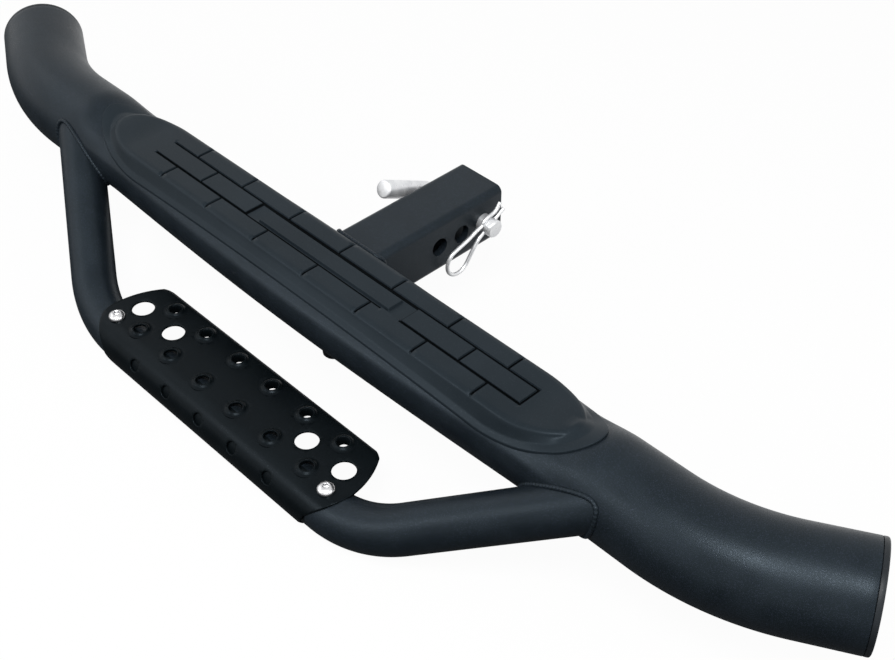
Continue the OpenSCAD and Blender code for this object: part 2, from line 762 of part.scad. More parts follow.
// Grip with hollows round its edge, open for the insert from above
module knob_grip() {
    c = 3;
    color([0.07, 0.07, 0.075]) at_bar() difference() {
        at_knob(-knob_z) rotate_extrude() polygon([
            [0, 0], [knob_r - 2*c, 0], [knob_r - c, 0.8], [knob_r, c + 1],
            [knob_r, knob_h - c - 1], [knob_r - c, knob_h - 1.6],
            [knob_r - 2*c - 2, knob_h - 2.4], [insert_af, knob_h - 2.4],
            [insert_af - 2, knob_h], [0, knob_h]]);
        for (i = [0 : knob_lobes - 1]) at_knob(-knob_z - 1)
            rotate([0, 0, i*360/knob_lobes]) translate([knob_r + 4.5, 0, 0])
                cylinder(r = 7.5, h = knob_h + 2);
        at_knob(-knob_z + 3)
            cylinder(d = insert_af/cos(30) + 2*seat_gap, h = knob_h, $fn = 6);
    }
}

// Hexagon nut moulded into the grip
module knob_insert() {
    color([0.7, 0.62, 0.4]) at_bar() difference() {
        at_knob(-knob_z + 3 + seat_gap)
            cylinder(d = insert_af/cos(30), h = knob_h - 3 - seat_gap, $fn = 6);
        at_knob(-knob_z) cylinder(d = stud_d, h = knob_h + 1);
    }
}

module knob_washer() {
    color([0.75, 0.75, 0.76]) at_bar() difference() {
        at_knob(grip_top + seat_gap) cylinder(d = 2*stud_d, h = 1.8);
        at_knob(grip_top) cylinder(d = stud_d + 0.4, h = 3);
    }
}

// Threaded stud from the insert up into the welded nut
module knob_stud() {
    base = -knob_z + 4;
    tip = shank_under + 1.7;
    color([0.74, 0.75, 0.76]) at_bar() {
        at_knob(base) cylinder(d = stud_d - 0.1, h = tip - 1 - base);
        at_knob(tip - 1) cylinder(d1 = stud_d - 0.1, d2 = stud_d - 2.1, h = 1);
    }
}

module knob_weld_nut() {
    color([0.13, 0.13, 0.14]) at_bar() difference() {
        at_knob(shank_under - nut_h - seat_gap) rotate([0, 0, 30])
            cylinder(d = nut_af/cos(30), h = nut_h, $fn = 6);
        at_knob(shank_under - nut_h - 1) cylinder(d = stud_d, h = nut_h + 2);
    }
}

main_tube();
end_cap_left();
end_cap_right();
step_pad();
pad_clips();
shank();
shank_weld();
hoop_tube();
hoop_weld_left();
hoop_weld_right();
tread_plate();
tread_screws();
tread_inserts();
hitch_pin();
pin_clip();
knob_grip();
knob_insert();
knob_washer();
knob_stud();
knob_weld_nut();
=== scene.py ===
"""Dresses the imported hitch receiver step: smooth pressed bar, moulded pad, lower
hoop with its tread plate, weld beads, pin and clip, hand knob and finishes."""
import math
import bmesh
import bpy
import numpy as np
from mathutils import Matrix, Vector, geometry


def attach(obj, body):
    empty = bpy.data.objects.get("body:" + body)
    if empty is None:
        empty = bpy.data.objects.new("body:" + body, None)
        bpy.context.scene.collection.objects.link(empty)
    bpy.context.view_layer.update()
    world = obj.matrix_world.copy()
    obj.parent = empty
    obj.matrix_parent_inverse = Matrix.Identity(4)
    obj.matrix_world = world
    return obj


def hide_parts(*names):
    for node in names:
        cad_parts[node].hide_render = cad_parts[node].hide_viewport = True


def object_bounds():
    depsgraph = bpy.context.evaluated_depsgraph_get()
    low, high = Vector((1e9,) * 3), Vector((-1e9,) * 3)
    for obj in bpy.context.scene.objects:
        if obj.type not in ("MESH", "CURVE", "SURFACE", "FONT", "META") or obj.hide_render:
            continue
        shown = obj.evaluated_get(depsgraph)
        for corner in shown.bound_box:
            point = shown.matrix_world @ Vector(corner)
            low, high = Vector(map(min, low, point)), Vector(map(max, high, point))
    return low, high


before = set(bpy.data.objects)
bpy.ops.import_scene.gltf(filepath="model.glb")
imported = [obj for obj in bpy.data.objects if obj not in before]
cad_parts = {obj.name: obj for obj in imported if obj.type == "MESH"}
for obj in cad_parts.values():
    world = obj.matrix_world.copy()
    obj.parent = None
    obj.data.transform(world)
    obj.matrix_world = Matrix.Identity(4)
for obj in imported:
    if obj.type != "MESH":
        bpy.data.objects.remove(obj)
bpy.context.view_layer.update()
scene = bpy.context.scene

# Sizes in millimetres, from the middle of the bar's axis, as in the part's source
ORIGIN = np.array([0.0, -107.6, 9.8])
TUBE_R, TUBE_IN_R = 38.1, 35.1
STRAIGHT, BEND_R, BEND, END_LEN, LIFT = 345.0, 200.0, 28.5, 44.5, 4.0
PRESS_HALF, RUNOUT, FLAT_Z, CREASE = 305.0, 60.0, 21.0, 18.0
SWELL, SWELL_HALF = 7.5, 244.0
HOOP_R, HOOP_Y, HOOP_Z, HOOP_HALF = 19.05, -111.5, -75.0, 130.0
HOOP_BEND_R, HOOP_BEND, HOOP_TILT = 106.0, 40.0, 41.0
TREAD_T, TREAD_REAR, TREAD_HALF, SIDE_R, CORNER_R = 2.0, -57.0, 150.5, 69.5, 30.0
PITCH = 42.7
SHANK_DROP = 9.8


# Camera, light
def look_from_the_photograph():
    right = (0.696451, 0.717597, 0.003193)
    down = (0.475143, -0.457798, -0.751438)
    ahead = (-0.537768, 0.524857, -0.659796)
    data = bpy.data.cameras.new("view")
    data.sensor_fit, data.sensor_width = "HORIZONTAL", 36.0
    data.lens = 1376.966*36/895
    data.clip_end = 60
    camera = bpy.data.objects.new("view", data)
    turn = Matrix([right, [-v for v in down], [-v for v in ahead]]).transposed()
    camera.matrix_world = (Matrix.Translation((0.678194, -0.627806, 0.703641))
                           @ turn.to_4x4())
    scene.collection.objects.link(camera)
    scene.camera = camera


def softbox(name, at, aim, wide, high, power):
    data = bpy.data.lights.new(name, "AREA")
    data.shape, data.size, data.size_y = "RECTANGLE", wide, high
    data.energy = power
    lamp = bpy.data.objects.new(name, data)
    lamp.location = at
    lamp.rotation_euler = (Vector(aim) - Vector(at)).to_track_quat("-Z", "Y").to_euler()
    scene.collection.objects.link(lamp)


# Node help
def add_node(tree, kind, inputs=None, **settings):
    node = tree.nodes.new(kind)
    for name, value in settings.items():
        setattr(node, name, value)
    for name, value in (inputs or {}).items():
        if isinstance(value, bpy.types.NodeSocket):
            tree.links.new(value, node.inputs[name])
        else:
            node.inputs[name].default_value = value
    return node


def maths(tree, operation, a, b=0.5):
    return add_node(tree, "ShaderNodeMath", {0: a, 1: b}, operation=operation).outputs[0]


def new_group(name, kind, inputs, outputs):
    group = bpy.data.node_groups.new(name, kind)
    for label, socket, value in inputs:
        made = group.interface.new_socket(name=label, in_out="INPUT", socket_type=socket)
        if value is not None:
            made.default_value = value
    for label, socket in outputs:
        group.interface.new_socket(name=label, in_out="OUTPUT", socket_type=socket)
    return group, add_node(group, "NodeGroupInput"), add_node(group, "NodeGroupOutput")


def coat_grain_group():
    """Pimpled coat: height of the grain, bright specks and a slow mottle."""
    group, given, out = new_group(
        "coat grain", "ShaderNodeTree",
        [("Place", "NodeSocketVector", None), ("Grain Size", "NodeSocketFloat", 0.0009),
         ("Speck Size", "NodeSocketFloat", 0.0008), ("Speck Share", "NodeSocketFloat", 0.1),
         ("Mottle Size", "NodeSocketFloat", 0.02)],
        [("Height", "NodeSocketFloat"), ("Specks", "NodeSocketFloat"),
         ("Mottle", "NodeSocketFloat")])
    place = given.outputs["Place"]
    grain = add_node(group, "ShaderNodeTexNoise",
                     {"Vector": place, "Detail": 2.0, "Roughness": 0.6,
                      "Scale": maths(group, "DIVIDE", 1.0, given.outputs["Grain Size"])})
    cells = add_node(group, "ShaderNodeTexVoronoi",
                     {"Vector": place,
                      "Scale": maths(group, "DIVIDE", 1.0, given.outputs["Speck Size"])})
    pick = add_node(group, "ShaderNodeSeparateColor", {"Color": cells.outputs["Color"]})
    least = maths(group, "SUBTRACT", 1.0, given.outputs["Speck Share"])
    chosen = maths(group, "GREATER_THAN", pick.outputs[0], least)
    core = maths(group, "LESS_THAN", cells.outputs["Distance"], 0.45)
    mottle = add_node(group, "ShaderNodeTexNoise",
                      {"Vector": place, "Detail": 3.0,
                       "Scale": maths(group, "DIVIDE", 1.0, given.outputs["Mottle Size"])})
    group.links.new(grain.outputs[0], out.inputs["Height"])
    group.links.new(maths(group, "MULTIPLY", chosen, core), out.inputs["Specks"])
    group.links.new(mottle.outputs[0], out.inputs["Mottle"])
    return group


COAT_GRAIN = coat_grain_group()


def finish_of(name, dark, light, speck, rough, metallic=0.0, grain=0.0009, specks=0.1,
              speck_size=0.0008, mottle=0.02, bump=0.3, depth=0.00012, specular=0.5,
              tint=(1, 1, 1), spread=0.08):
    """A finish from two shades, a speck colour, a roughness and a grain."""
    material = bpy.data.materials.new(name)
    material.use_nodes = True
    tree = material.node_tree
    tree.nodes.clear()
    place = add_node(tree, "ShaderNodeTexCoord").outputs["Object"]
    group = add_node(tree, "ShaderNodeGroup", node_tree=COAT_GRAIN)
    tree.links.new(place, group.inputs["Place"])
    for label, value in (("Grain Size", grain), ("Speck Size", speck_size),
                         ("Speck Share", specks), ("Mottle Size", mottle)):
        group.inputs[label].default_value = value
    wide = add_node(tree, "ShaderNodeMapRange", {0: group.outputs["Mottle"], 1: 0.35, 2: 0.65})
    shade = add_node(tree, "ShaderNodeMix", {0: wide.outputs[0], 6: (*dark, 1), 7: (*light, 1)},
                     data_type="RGBA")
    shade = add_node(tree, "ShaderNodeMix",
                     {0: group.outputs["Specks"], 6: shade.outputs[2], 7: (*speck, 1)},
                     data_type="RGBA")
    dull = maths(tree, "MULTIPLY_ADD", wide.outputs[0], spread)
    dull.node.inputs[2].default_value = rough - spread/2
    grit = maths(tree, "MULTIPLY_ADD", group.outputs["Specks"], -0.12)
    tree.links.new(dull, grit.node.inputs[2])
    raised = add_node(tree, "ShaderNodeBump", {"Strength": bump, "Distance": depth,
                                               "Height": group.outputs["Height"]})
    shader = add_node(tree, "ShaderNodeBsdfPrincipled",
                      {"Base Color": shade.outputs[2], "Roughness": grit,
                       "Normal": raised.outputs[0], "Metallic": metallic,
                       "Specular IOR Level": specular, "Specular Tint": (*tint, 1)})
    out = add_node(tree, "ShaderNodeOutputMaterial")
    tree.links.new(shader.outputs[0], out.inputs[0])
    return material


COOL_SHEEN = (0.7, 0.86, 1.0)
POWDER_COAT = finish_of("powder coat", (0.0070, 0.0105, 0.0135), (0.0105, 0.0150, 0.0190),
                        (0.022, 0.028, 0.042), 0.40, grain=0.0008, specks=0.3,
                        speck_size=0.00055, bump=0.5, depth=0.0002, mottle=0.03,
                        specular=0.2, tint=COOL_SHEEN)
# The tread plate's own darker coat; on the hoop under the plate it is painted shade.
TREAD_COAT_AND_SHADE = finish_of("tread coat and painted shade", (0.0020, 0.0032, 0.0040), (0.0032, 0.0048, 0.0058),
                       (0.006, 0.009, 0.012), 0.34, grain=0.0010, specks=0.12,
                       speck_size=0.0007, bump=0.3, depth=0.00015, mottle=0.04,
                       specular=0.09, tint=COOL_SHEEN)
PAD_PLASTIC = finish_of("pad plastic", (0.0095, 0.0140, 0.0180), (0.0135, 0.0190, 0.0240),
                        (0.018, 0.024, 0.030), 0.42, grain=0.0006, specks=0.1,
                        bump=0.3, depth=0.0001, mottle=0.06, specular=0.15,
                        tint=COOL_SHEEN)
# Near-black finish for the grooves: painted shade down in the pad's grooves.
GROOVE_PAINTED_SHADE = finish_of("pad groove painted shade", (0.0012, 0.0018, 0.0022), (0.0020, 0.0028, 0.0034),
                           (0.003, 0.004, 0.005), 0.6, grain=0.0006, specks=0.1,
                           bump=0.2, depth=0.0001, mottle=0.06, specular=0.03)
CAP_PLASTIC = finish_of("cap plastic", (0.012, 0.015, 0.018), (0.018, 0.022, 0.026),
                        (0.03, 0.035, 0.04), 0.42, grain=0.0007, specks=0.06,
                        bump=0.25, depth=0.0001, specular=0.2)
KNOB_PLASTIC = finish_of("knob plastic", (0.007, 0.008, 0.009), (0.010, 0.011, 0.013),
                         (0.014, 0.015, 0.017), 0.36, grain=0.0006, bump=0.12, depth=0.00005,
                         specular=0.3)
CLIP_NYLON = finish_of("clip nylon", (0.52, 0.52, 0.48), (0.62, 0.62, 0.58),
                       (0.6, 0.6, 0.57), 0.45, grain=0.0008, bump=0.15)
STAINLESS = finish_of("stainless", (0.55, 0.55, 0.56), (0.68, 0.68, 0.69),
                      (0.7, 0.7, 0.71), 0.27, metallic=1.0, grain=0.0006, specks=0.02,
                      bump=0.15, depth=0.00004, mottle=0.006)
ZINC = finish_of("bright zinc", (0.74, 0.75, 0.77), (0.88, 0.89, 0.9),
                 (0.9, 0.9, 0.91), 0.36, metallic=0.6, grain=0.0009, specks=0.05,
                 bump=0.2, depth=0.00006, mottle=0.008, spread=0.14)


# Mesh making
def placed(points):
    return (np.asarray(points, float) + ORIGIN)/1000


def make_mesh(name, points, faces, sharp=35.0, merge=2e-6):
    """A mesh object of points in metres; its doubles merged, its faces outward."""
    mesh = bpy.data.meshes.new(name)
    mesh.from_pydata(np.asarray(points, float).tolist(), [], [list(map(int, f)) for f in faces])
    work = bmesh.new()
    work.from_mesh(mesh)
    bmesh.ops.remove_doubles(work, verts=work.verts, dist=merge)
    bmesh.ops.dissolve_degenerate(work, edges=work.edges, dist=1e-7)
    bmesh.ops.recalc_face_normals(work, faces=work.faces)
    work.to_mesh(mesh)
    work.free()
    smooth_shaded(mesh, sharp)
    obj = bpy.data.objects.new(name, mesh)
    scene.collection.objects.link(obj)
    return obj


def smooth_shaded(mesh, sharp):
    mesh.polygons.foreach_set("use_smooth", [True]*len(mesh.polygons))
    mesh.set_sharp_from_angle(angle=math.radians(sharp))
    mesh.update()


def ring_faces(rings, around, closed=False, first=0):
    """Quads between rings of points; closed joins the last ring to the first."""
    i, j = np.meshgrid(np.arange(rings if closed else rings - 1), np.arange(around),
                       indexing="ij")
    nxt = (i + 1) % rings
    k = (j + 1) % around
    return (first + np.stack([i*around + j, i*around + k, nxt*around + k,
                              nxt*around + j], -1)).reshape(-1, 4).tolist()


def capped(rings):
    """Points and faces of a solid skinned over rings, flat at both ends."""
    rings = np.asarray(rings, float)
    m, n = rings.shape[:2]
    faces = ring_faces(m, n)
    faces += [list(range(n)), list(range((m - 1)*n, m*n))]
    return rings.reshape(-1, 3), faces


def sweep(path, radii, sides):
    """Rings of the given radii along a path, carried without twist."""
    path = np.asarray(path, float)
    ahead = np.empty_like(path)
    ahead[1:-1] = path[2:] - path[:-2]
    ahead[0], ahead[-1] = path[1] - path[0], path[-1] - path[-2]
    ahead /= np.linalg.norm(ahead, axis=1)[:, None]
    side = np.cross(ahead[0], [0.31, 0.17, 0.93])
    turn = 2*np.pi*np.arange(sides)/sides
    rings = []
    for point, way, radius in zip(path, ahead, np.broadcast_to(radii, len(path))):
        side = side - way*(side @ way)
        side /= np.linalg.norm(side)
        other = np.cross(way, side)
        rings.append(point + radius*(np.outer(np.cos(turn), side)
                                     + np.outer(np.sin(turn), other)))
    return np.array(rings)


def rounded_ends(path, radius, edge, sides):
    """A round bar along a path, with its two end edges rounded over."""
    path = np.asarray(path, float)
    start, end = path[1] - path[0], path[-2] - path[-1]
    start, end = start/np.linalg.norm(start), end/np.linalg.norm(end)
    steps = np.radians([0, 22, 45, 68, 90])
    first = [path[0] + start*edge*(1 - math.sin(a)) for a in steps]
    last = [path[-1] + end*edge*(1 - math.sin(a)) for a in steps[::-1]]
    inner = [p for p in path[1:-1] if (p - first[0]) @ start > 0 and (p - last[-1]) @ end > 0]
    points = first[::-1] + inner + last[::-1]
    radii = ([radius - edge + edge*math.cos(a) for a in steps][::-1] + [radius]*len(inner)
             + [radius - edge + edge*math.cos(a) for a in steps])
    return sweep(points, radii, sides)


def lathe(profile, sides):
    """Rings round the z axis for a profile of radius and height."""
    turn = 2*np.pi*np.arange(sides)/sides
    return np.array([np.stack([r*np.cos(turn), r*np.sin(turn), np.full(sides, z)], -1)
                     for r, z in profile])


def dress(obj, finish, body, slot, *nodes):
    if finish is not None:
        obj.data.materials.clear()
        obj.data.materials.append(finish)
    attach(obj, body)
    if nodes:
        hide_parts(*nodes)
    return obj


def baked(obj):
    """Applies an object's modifiers to its mesh and removes them."""
    bpy.context.view_layer.update()
    graph = bpy.context.evaluated_depsgraph_get()
    mesh = bpy.data.meshes.new_from_object(obj.evaluated_get(graph))
    obj.modifiers.clear()
    obj.data = mesh
    return obj


def grown(obj, tree, **inputs):
    """Runs a geometry tree on an object with its named inputs, and bakes it."""
    growth = obj.modifiers.new("growth", "NODES")
    growth.node_group = tree
    for item in tree.interface.items_tree:
        key = item.name.replace(" ", "_").lower()
        if item.in_out == "INPUT" and key in inputs:
            growth[item.identifier] = inputs[key]
    return baked(obj)


# Main tube
def eased(t):
    t = np.clip(t, 0, 1)
    return t*t*(3 - 2*t)


def pressed_ring(x, radius, top, around=144):
    """Section of the pressed middle at x: y and z of points from the bottom round."""
    angle = -90 + 360*np.arange(around)/around
    half = np.where(angle <= 90, angle, 180 - angle)
    a, crease = np.radians(half), math.radians(CREASE)
    share = 1 - float(eased((abs(x) - PRESS_HALF + RUNOUT)/RUNOUT))
    wide = 1 + (SWELL*math.cos(math.pi/2*x/SWELL_HALF)/radius if abs(x) < SWELL_HALF else 0)
    k = np.clip((half - CREASE)/(90 - CREASE), 0, 1)
    low = radius*math.sin(crease)
    y_up = ((1 - share)*radius*np.cos(a)
            + share*radius*math.cos(crease)*np.interp(k, [0, 1/6, 1/3, 1], [1, .84, .7, 0]))
    z_up = ((1 - share)*radius*np.sin(a)
            + share*(low + (top - low)*np.interp(k, [0, 1/6, 1/3, 1], [0, .61, 1, 1])))
    y = wide*np.where(half <= CREASE, radius*np.cos(a), y_up)
    z = np.where(half <= CREASE, radius*np.sin(a), z_up)
    y = np.where(angle <= 90, y, -y)
    for _ in range(2):
        soft_y = (np.roll(y, 1) + 2*y + np.roll(y, -1))/4
        soft_z = (np.roll(z, 1) + 2*z + np.roll(z, -1))/4
        keep = share*(half > 0)
        y, z = y + keep*(soft_y - y), z + keep*(soft_z - z)
    return y, z


def tube_top(x, y):
    """Height of the tube's upper surface at x and y."""
    ys, zs = pressed_ring(x, TUBE_R, FLAT_Z)
    ys, zs = ys[36:73], zs[36:73]
    return np.interp(np.abs(y), ys[::-1], zs[::-1])


def arm_ring(t, radius, around=144):
    """Ring of the right arm at distance t along the bar."""
    c, s = math.cos(math.radians(LIFT)), math.sin(math.radians(LIFT))
    full = math.radians(BEND)
    turn = min(max((t - STRAIGHT)/BEND_R, 0), full)
    centre = np.array([STRAIGHT + BEND_R*math.sin(turn), BEND_R*(1 - math.cos(turn))*c,
                       BEND_R*(1 - math.cos(turn))*s]) if t > STRAIGHT else np.array([t, 0, 0])
    way = np.array([math.cos(turn), math.sin(turn)*c, math.sin(turn)*s])
    centre = centre + way*max(0, t - STRAIGHT - BEND_R*full)
    out = np.array([-math.sin(turn), math.cos(turn)*c, math.cos(turn)*s])
    up = np.array([0, -s, c])
    a = np.radians(-90 + 360*np.arange(around)/around)[:, None]
    return centre + radius*(np.cos(a)*(c*out - s*up) + np.sin(a)*(s*out + c*up))


def bar_end():
    """Centre and the three directions of the right end's face."""
    c, s = math.cos(math.radians(LIFT)), math.sin(math.radians(LIFT))
    a = math.radians(BEND)
    total = STRAIGHT + BEND_R*a + END_LEN
    centre = arm_ring(total, 0.0, 4)[0]
    return (centre, np.array([math.cos(a), math.sin(a)*c, math.sin(a)*s]),
            np.array([-math.sin(a), math.cos(a)*c, math.cos(a)*s]), np.array([0, -s, c]))


def make_main_tube():
    end = STRAIGHT + BEND_R*math.radians(BEND) + END_LEN
    arm = np.concatenate([np.arange(310, 345, 7), np.linspace(345, end - END_LEN, 40),
                          np.arange(end - END_LEN + 8, end - 1, 8)])
    middle = np.concatenate([np.arange(-305, -244, 4), np.arange(-240, 241, 6),
                             np.arange(245, 306, 4)])

    def skin(radius, top, tail):
        middle_rings = []
        for x in middle:
            y, z = pressed_ring(x, radius, top)
            middle_rings.append(np.stack([np.full(len(y), float(x)), y, z], -1))
        right = [arm_ring(t, radius) for t in arm] + [arm_ring(end - d, radius - e)
                                                      for d, e in tail]
        left = [ring*[-1, 1, 1] for ring in right[::-1]]
        return np.array(left + middle_rings + right)

    outer = skin(TUBE_R, FLAT_Z, [(0.5, 0), (0.2, 0.08), (0.0, 0.4)])
    inner = skin(TUBE_IN_R, FLAT_Z - 3, [(0.3, 0), (0.0, -0.3)])
    rings = np.concatenate([outer, inner[::-1]])
    obj = make_mesh("pressed_bar", placed(rings.reshape(-1, 3)),
                    ring_faces(len(rings), rings.shape[1], closed=True))
    dress(obj, POWDER_COAT, "step", "powder_coat", "main_tube")


def make_end_caps():
    plug = TUBE_IN_R - 0.2
    profile = [(0.01, 0.4), (plug - 2.5, 0.4), (plug - 2.5, -14), (plug, -14),
               (plug, 0.25), (TUBE_R - 0.5, 0.25), (TUBE_R - 0.1, 0.45), (TUBE_R, 0.85),
               (TUBE_R, 2.9), (TUBE_R - 0.15, 3.5), (TUBE_R - 0.55, 4.05),
               (TUBE_R - 1.2, 4.4), (TUBE_R - 2.0, 4.5), (TUBE_R - 4.5, 4.5),
               (TUBE_R - 5.1, 4.38), (TUBE_R - 5.5, 4.3), (24, 4.34), (12, 4.38), (0.01, 4.4)]
    centre, way, out, up = bar_end()
    rings = lathe(profile, 120)
    points = (centre + rings[..., 2:3]*way + rings[..., 0:1]*out + rings[..., 1:2]*up)
    for name, side in (("end_cap_right", 1), ("end_cap_left", -1)):
        flat, faces = capped(points*[side, 1, 1])
        obj = make_mesh(name + "_plug", placed(flat), faces)
        dress(obj, CAP_PLASTIC, "step", "cap_plastic", name)


# Step pad
PAD_X, BRICK_X, BRICK, GROOVE, GROOVE_Y = 4.0, 8.5, 61.2, 1.2, 10.0
ISLAND_X, ISLAND_Y, PAD_TOP, PAD_CUT, PAD_GAP = 77.0, 7.2, 30.0, 28.0, 0.35


def in_box(x, y, x0, x1, y0, y1):
    """How far inside a rectangle a point lies; below zero outside it."""
    return np.minimum(np.minimum(x - x0, x1 - x), np.minimum(y - y0, y1 - y))


def cut_share(x, y):
    """Share of the grooves' depth at a point of the pad, from 0 to 1."""
    x = x - BRICK_X
    end, recess, g = 3.5*BRICK, 1.5*BRICK, GROOVE

    def share(*sides):
        return eased((in_box(x, y, *sides) + 0.3)/0.8)

    cuts = [share(-end - g, end + g, GROOVE_Y - g, GROOVE_Y + g),
            share(-end - g, ISLAND_X - 5, -GROOVE_Y - g, -GROOVE_Y + g),
            share(recess, end + g, -GROOVE_Y - g, -GROOVE_Y + g)]
    for k in range(-3, 4):
        cuts.append(share(k*BRICK - g, k*BRICK + g, GROOVE_Y, 60))
        cuts.append(share(k*BRICK - g, k*BRICK + g, -60, -GROOVE_Y))
    for k in (-2.5, 2.5, 3.5):
        cuts.append(share(k*BRICK - g, k*BRICK + g, -GROOVE_Y, GROOVE_Y))
    island = eased((in_box(x, y, -ISLAND_X, ISLAND_X, -ISLAND_Y, ISLAND_Y) + 0.5)/0.8)
    recessed = share(-recess - g, recess + g, -GROOVE_Y + g - 0.5, GROOVE_Y - g + 0.5)
    cuts.append(recessed*(1 - island))
    return np.max(cuts, axis=0)


def filled_in(marks, low, high, step):
    """Sorted marks from low to high with gaps wider than step divided."""
    marks = sorted({round(m, 3) for m in marks if low < m < high} | {low, high})
    out = []
    for a, b in zip(marks, marks[1:]):
        n = max(1, math.ceil((b - a)/step))
        out += [a + (b - a)*i/n for i in range(n)]
    return out + [high]


def pad_stations():
    """Where each row stands along the pad: share functions of its own outline."""
    edges = [-1.5, -1.25, -1.0, -0.7, 0.7, 1.0, 1.25, 1.5]
    marks = [BRICK_X + k*BRICK + e for k in range(-3, 4) for e in edges]
    marks += [BRICK_X + k*BRICK + e for k in (-3.5, -2.5, 2.5, 3.5) for e in edges]
    marks += [BRICK_X + s*(ISLAND_X + e) for s in (-1, 1) for e in (-0.3, -0.05, 0.2, 0.5)]
    marks += [BRICK_X + ISLAND_X - 5 + e for e in (-0.5, -0.2, 0.05, 0.3)]
    marks += [BRICK_X + s*(1.5*BRICK) + s*e for s in (-1, 1)
              for e in (-0.5, -0.2, 0.05, 0.3, 0.7, 0.95, 1.2, 1.5)]
    return marks


def pad_row(half, wide, straight):
    """One outline of the pad, as x and y at every station; straight is where the
    inner rows start to close."""
    marks = pad_stations()
    begin, close = 196.0, 226.0
    near = np.array(filled_in(marks, -begin, begin, 4.0))
    right = (np.array(filled_in([m for m in marks if m > begin], begin, close, 3.0)) - begin)
    left = (np.array(filled_in([-m for m in marks if m < -begin], begin, close, 3.0)) - begin)
    shrink = (straight - begin)/(close - begin)
    turn = np.radians(np.linspace(0, 90, 25))[1:]
    reach = half - straight
    x = np.concatenate([-(straight + reach*np.sin(turn))[::-1],
                        -(begin + left[:0:-1]*shrink), near,
                        begin + right[1:]*shrink, straight + reach*np.sin(turn)])
    y = np.concatenate([(wide*np.cos(turn))[::-1], np.full(len(left) - 1, wide),
                        np.full(len(near), wide), np.full(len(right) - 1, wide),
                        wide*np.cos(turn)])
    return x, np.maximum(y, 0)


def pad_top(x):
    return PAD_TOP + 3*eased((np.abs(x) - 270 + 42)/42)


def resting(x, y):
    return np.array([tube_top(a + PAD_X, b) for a, b in zip(x, y)])


def softened(before, corner, after, radius):
    """Four rows that round a corner row off."""
    def towards(other):
        gap = other - corner
        length = np.linalg.norm(gap, axis=1)[:, None]
        return corner + gap*np.minimum(0.45, radius/np.maximum(length, 1e-6))
    a, b = towards(before), towards(after)
    return [(1 - t)**2*a + 2*t*(1 - t)*corner + t*t*b for t in (0, 1/3, 2/3, 1)]


def make_pad():
    def outline(half, wide, run):
        return pad_row(half, wide, half - run)

    def row(xy, z):
        return np.stack([xy[0], xy[1], z], -1)

    rim = outline(289, 37.5, 89)
    under = []
    for share, gap in ((0, 0), (0.35, 0), (0.7, 0.6), (0.85, 0.5)):
        xy = (rim[0], rim[1]*share)
        under.append(row(xy, resting(*xy) + PAD_GAP + gap))
    a = row(rim, resting(*rim) + PAD_GAP)
    rim_in = outline(288.7, 37.2, 88.7)
    b = row(rim_in, resting(*rim_in) + PAD_GAP + 1.6)
    foot = outline(277, 33.5, 73)
    c = row(foot, resting(*foot) + PAD_GAP + 1.7)
    brow = outline(270, 29.5, 55)
    d = row(brow, np.maximum(pad_top(brow[0]) - 3.5, c[:, 2] + 0.4))
    edge = outline(268.8, 28.2, 54)
    e = row(edge, np.maximum(pad_top(edge[0]) - 1.1, d[:, 2] + 0.3))
    lip = outline(266, 25, 52)
    f = row(lip, np.maximum(pad_top(lip[0]), e[:, 2] + 0.2))
    marks = [GROOVE_Y + m for m in (-1.5, -1.25, -1.0, -0.7, 0.7, 1.0, 1.25, 1.5)]
    marks += [ISLAND_Y + m for m in (-0.3, -0.05, 0.2, 0.5)] + [8.8, 9.05, 9.35, 9.6]
    inner = []
    for wide in filled_in(marks, 0.0, 25.0, 3.4)[-2::-1]:
        share = wide/25
        xy = pad_row(226 + 40*share, wide, 226 - 12*max(0.0, (wide - 12)/13))
        inner.append(row(xy, pad_top(xy[0])))
    side = under + [a]
    keys = [a, b, c, d, e, f, inner[0]]
    for k, radius in ((1, 0.7), (2, 1.2), (3, 1.6), (4, 1.2), (5, 1.6)):
        side += softened(keys[k - 1], keys[k], keys[k + 1], radius)
    side += inner
    # Rows, stations and the three coordinates
    side = np.array(side)
    other = side[1:-1][::-1]*[1, -1, 1]
    rings = np.concatenate([side, other]).transpose(1, 0, 2)
    x, y, z = rings[..., 0], rings[..., 1], rings[..., 2].copy()
    z -= cut_share(x, y)*np.maximum(0, z - PAD_CUT)*(np.arange(rings.shape[1]) > 3)
    rings = np.stack([x + PAD_X, y, z], -1)
    obj = make_mesh("moulded_pad", placed(rings.reshape(-1, 3)),
                    ring_faces(len(rings), rings.shape[1]), sharp=60, merge=1e-5)
    dress(obj, PAD_PLASTIC, "step", "pad_plastic", "step_pad")
    obj.data.materials.append(GROOVE_PAINTED_SHADE)
    # Faces sunk in the grooves, outside the recess round the middle island, get painted shade.
    for face in obj.data.polygons:
        x, y, z = (c*1000 - o for c, o in zip(face.center, ORIGIN))
        beside = abs(x - PAD_X - BRICK_X) < 1.5*BRICK - GROOVE and abs(y) < GROOVE_Y - GROOVE
        sunk = PAD_CUT - 0.5 < z < pad_top(x - PAD_X) - 0.5 and abs(y) < 26.5
        if sunk and not beside and cut_share(x - PAD_X, y) > 0.5:
            face.material_index = 1


# Lower hoop
def hoop_way(theta):
    """Point of the hoop's right half and its direction, at bend angle theta."""
    tilt = math.radians(HOOP_TILT)
    v = HOOP_BEND_R*(1 - math.cos(theta))
    point = np.array([HOOP_HALF + HOOP_BEND_R*math.sin(theta), HOOP_Y + v*math.cos(tilt),
                      HOOP_Z + v*math.sin(tilt)])
    way = np.array([math.cos(theta), math.sin(theta)*math.cos(tilt),
                    math.sin(theta)*math.sin(tilt)])
    return point, way


